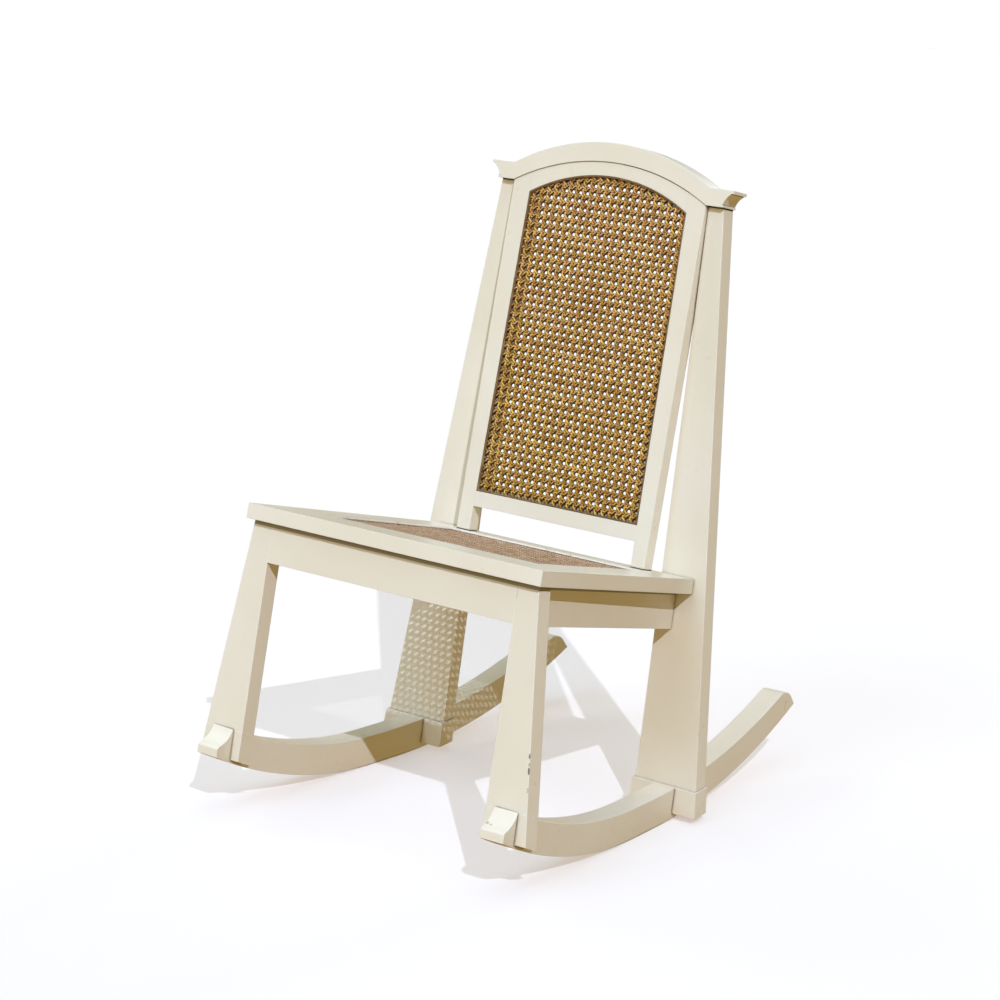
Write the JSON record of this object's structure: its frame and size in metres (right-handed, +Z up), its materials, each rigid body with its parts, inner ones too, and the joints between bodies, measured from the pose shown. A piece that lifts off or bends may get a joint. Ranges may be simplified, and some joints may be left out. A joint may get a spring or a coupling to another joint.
{
  "type": "sewing rocker",
  "caption": "Low armless sewing rocker with a cream-painted frame, a woven cane seat and back, an arched crest rail and curved runners.",
  "frame": {"origin": "on the floor, under the middle of the chair's box", "axes": "+Z up, -Y towards the front of the chair, +X to the right as seen from the front"},
  "size_m": [0.5262, 0.7688, 0.8762],
  "materials": {
    "painted_wood": "semi-gloss cream paint",
    "bare_wood": "unpainted",
    "woven_cane": "natural golden cane",
    "spline_reed": "natural reed, painted over in part",
    "screw_steel": "plain"
  },
  "bodies": {
    "root": {"apron_dowels": "bare_wood", "back_bottom_rail": "painted_wood", "back_cane": "woven_cane", "back_dowels": "bare_wood", "back_left_stile": "painted_wood", "back_right_stile": "painted_wood", "back_spline": "spline_reed", "back_top_rail": "painted_wood", "block_screws": "screw_steel", "crest_dowels": "bare_wood", "crest_rail": "painted_wood", "foot_screws": "screw_steel", "front_apron": "painted_wood", "front_left_corner_block": "bare_wood", "front_left_inner_cheek": "painted_wood", "front_left_leg": "painted_wood", "front_left_outer_cheek": "painted_wood", "front_right_corner_block": "bare_wood", "front_right_inner_cheek": "painted_wood", "front_right_leg": "painted_wood", "front_right_outer_cheek": "painted_wood", "left_apron": "painted_wood", "left_runner": "painted_wood", "rear_apron": "painted_wood", "rear_left_corner_block": "bare_wood", "rear_left_inner_cheek": "painted_wood", "rear_left_outer_cheek": "painted_wood", "rear_left_post": "painted_wood", "rear_right_corner_block": "bare_wood", "rear_right_inner_cheek": "painted_wood", "rear_right_outer_cheek": "painted_wood", "rear_right_post": "painted_wood", "right_apron": "painted_wood", "right_runner": "painted_wood", "seat_cane": "woven_cane", "seat_dowels": "bare_wood", "seat_front_rail": "painted_wood", "seat_left_rail": "painted_wood", "seat_rear_rail": "painted_wood", "seat_right_rail": "painted_wood", "seat_screws": "screw_steel", "seat_spline": "spline_reed", "stile_screws": "screw_steel"}
  },
  "joints": []
}
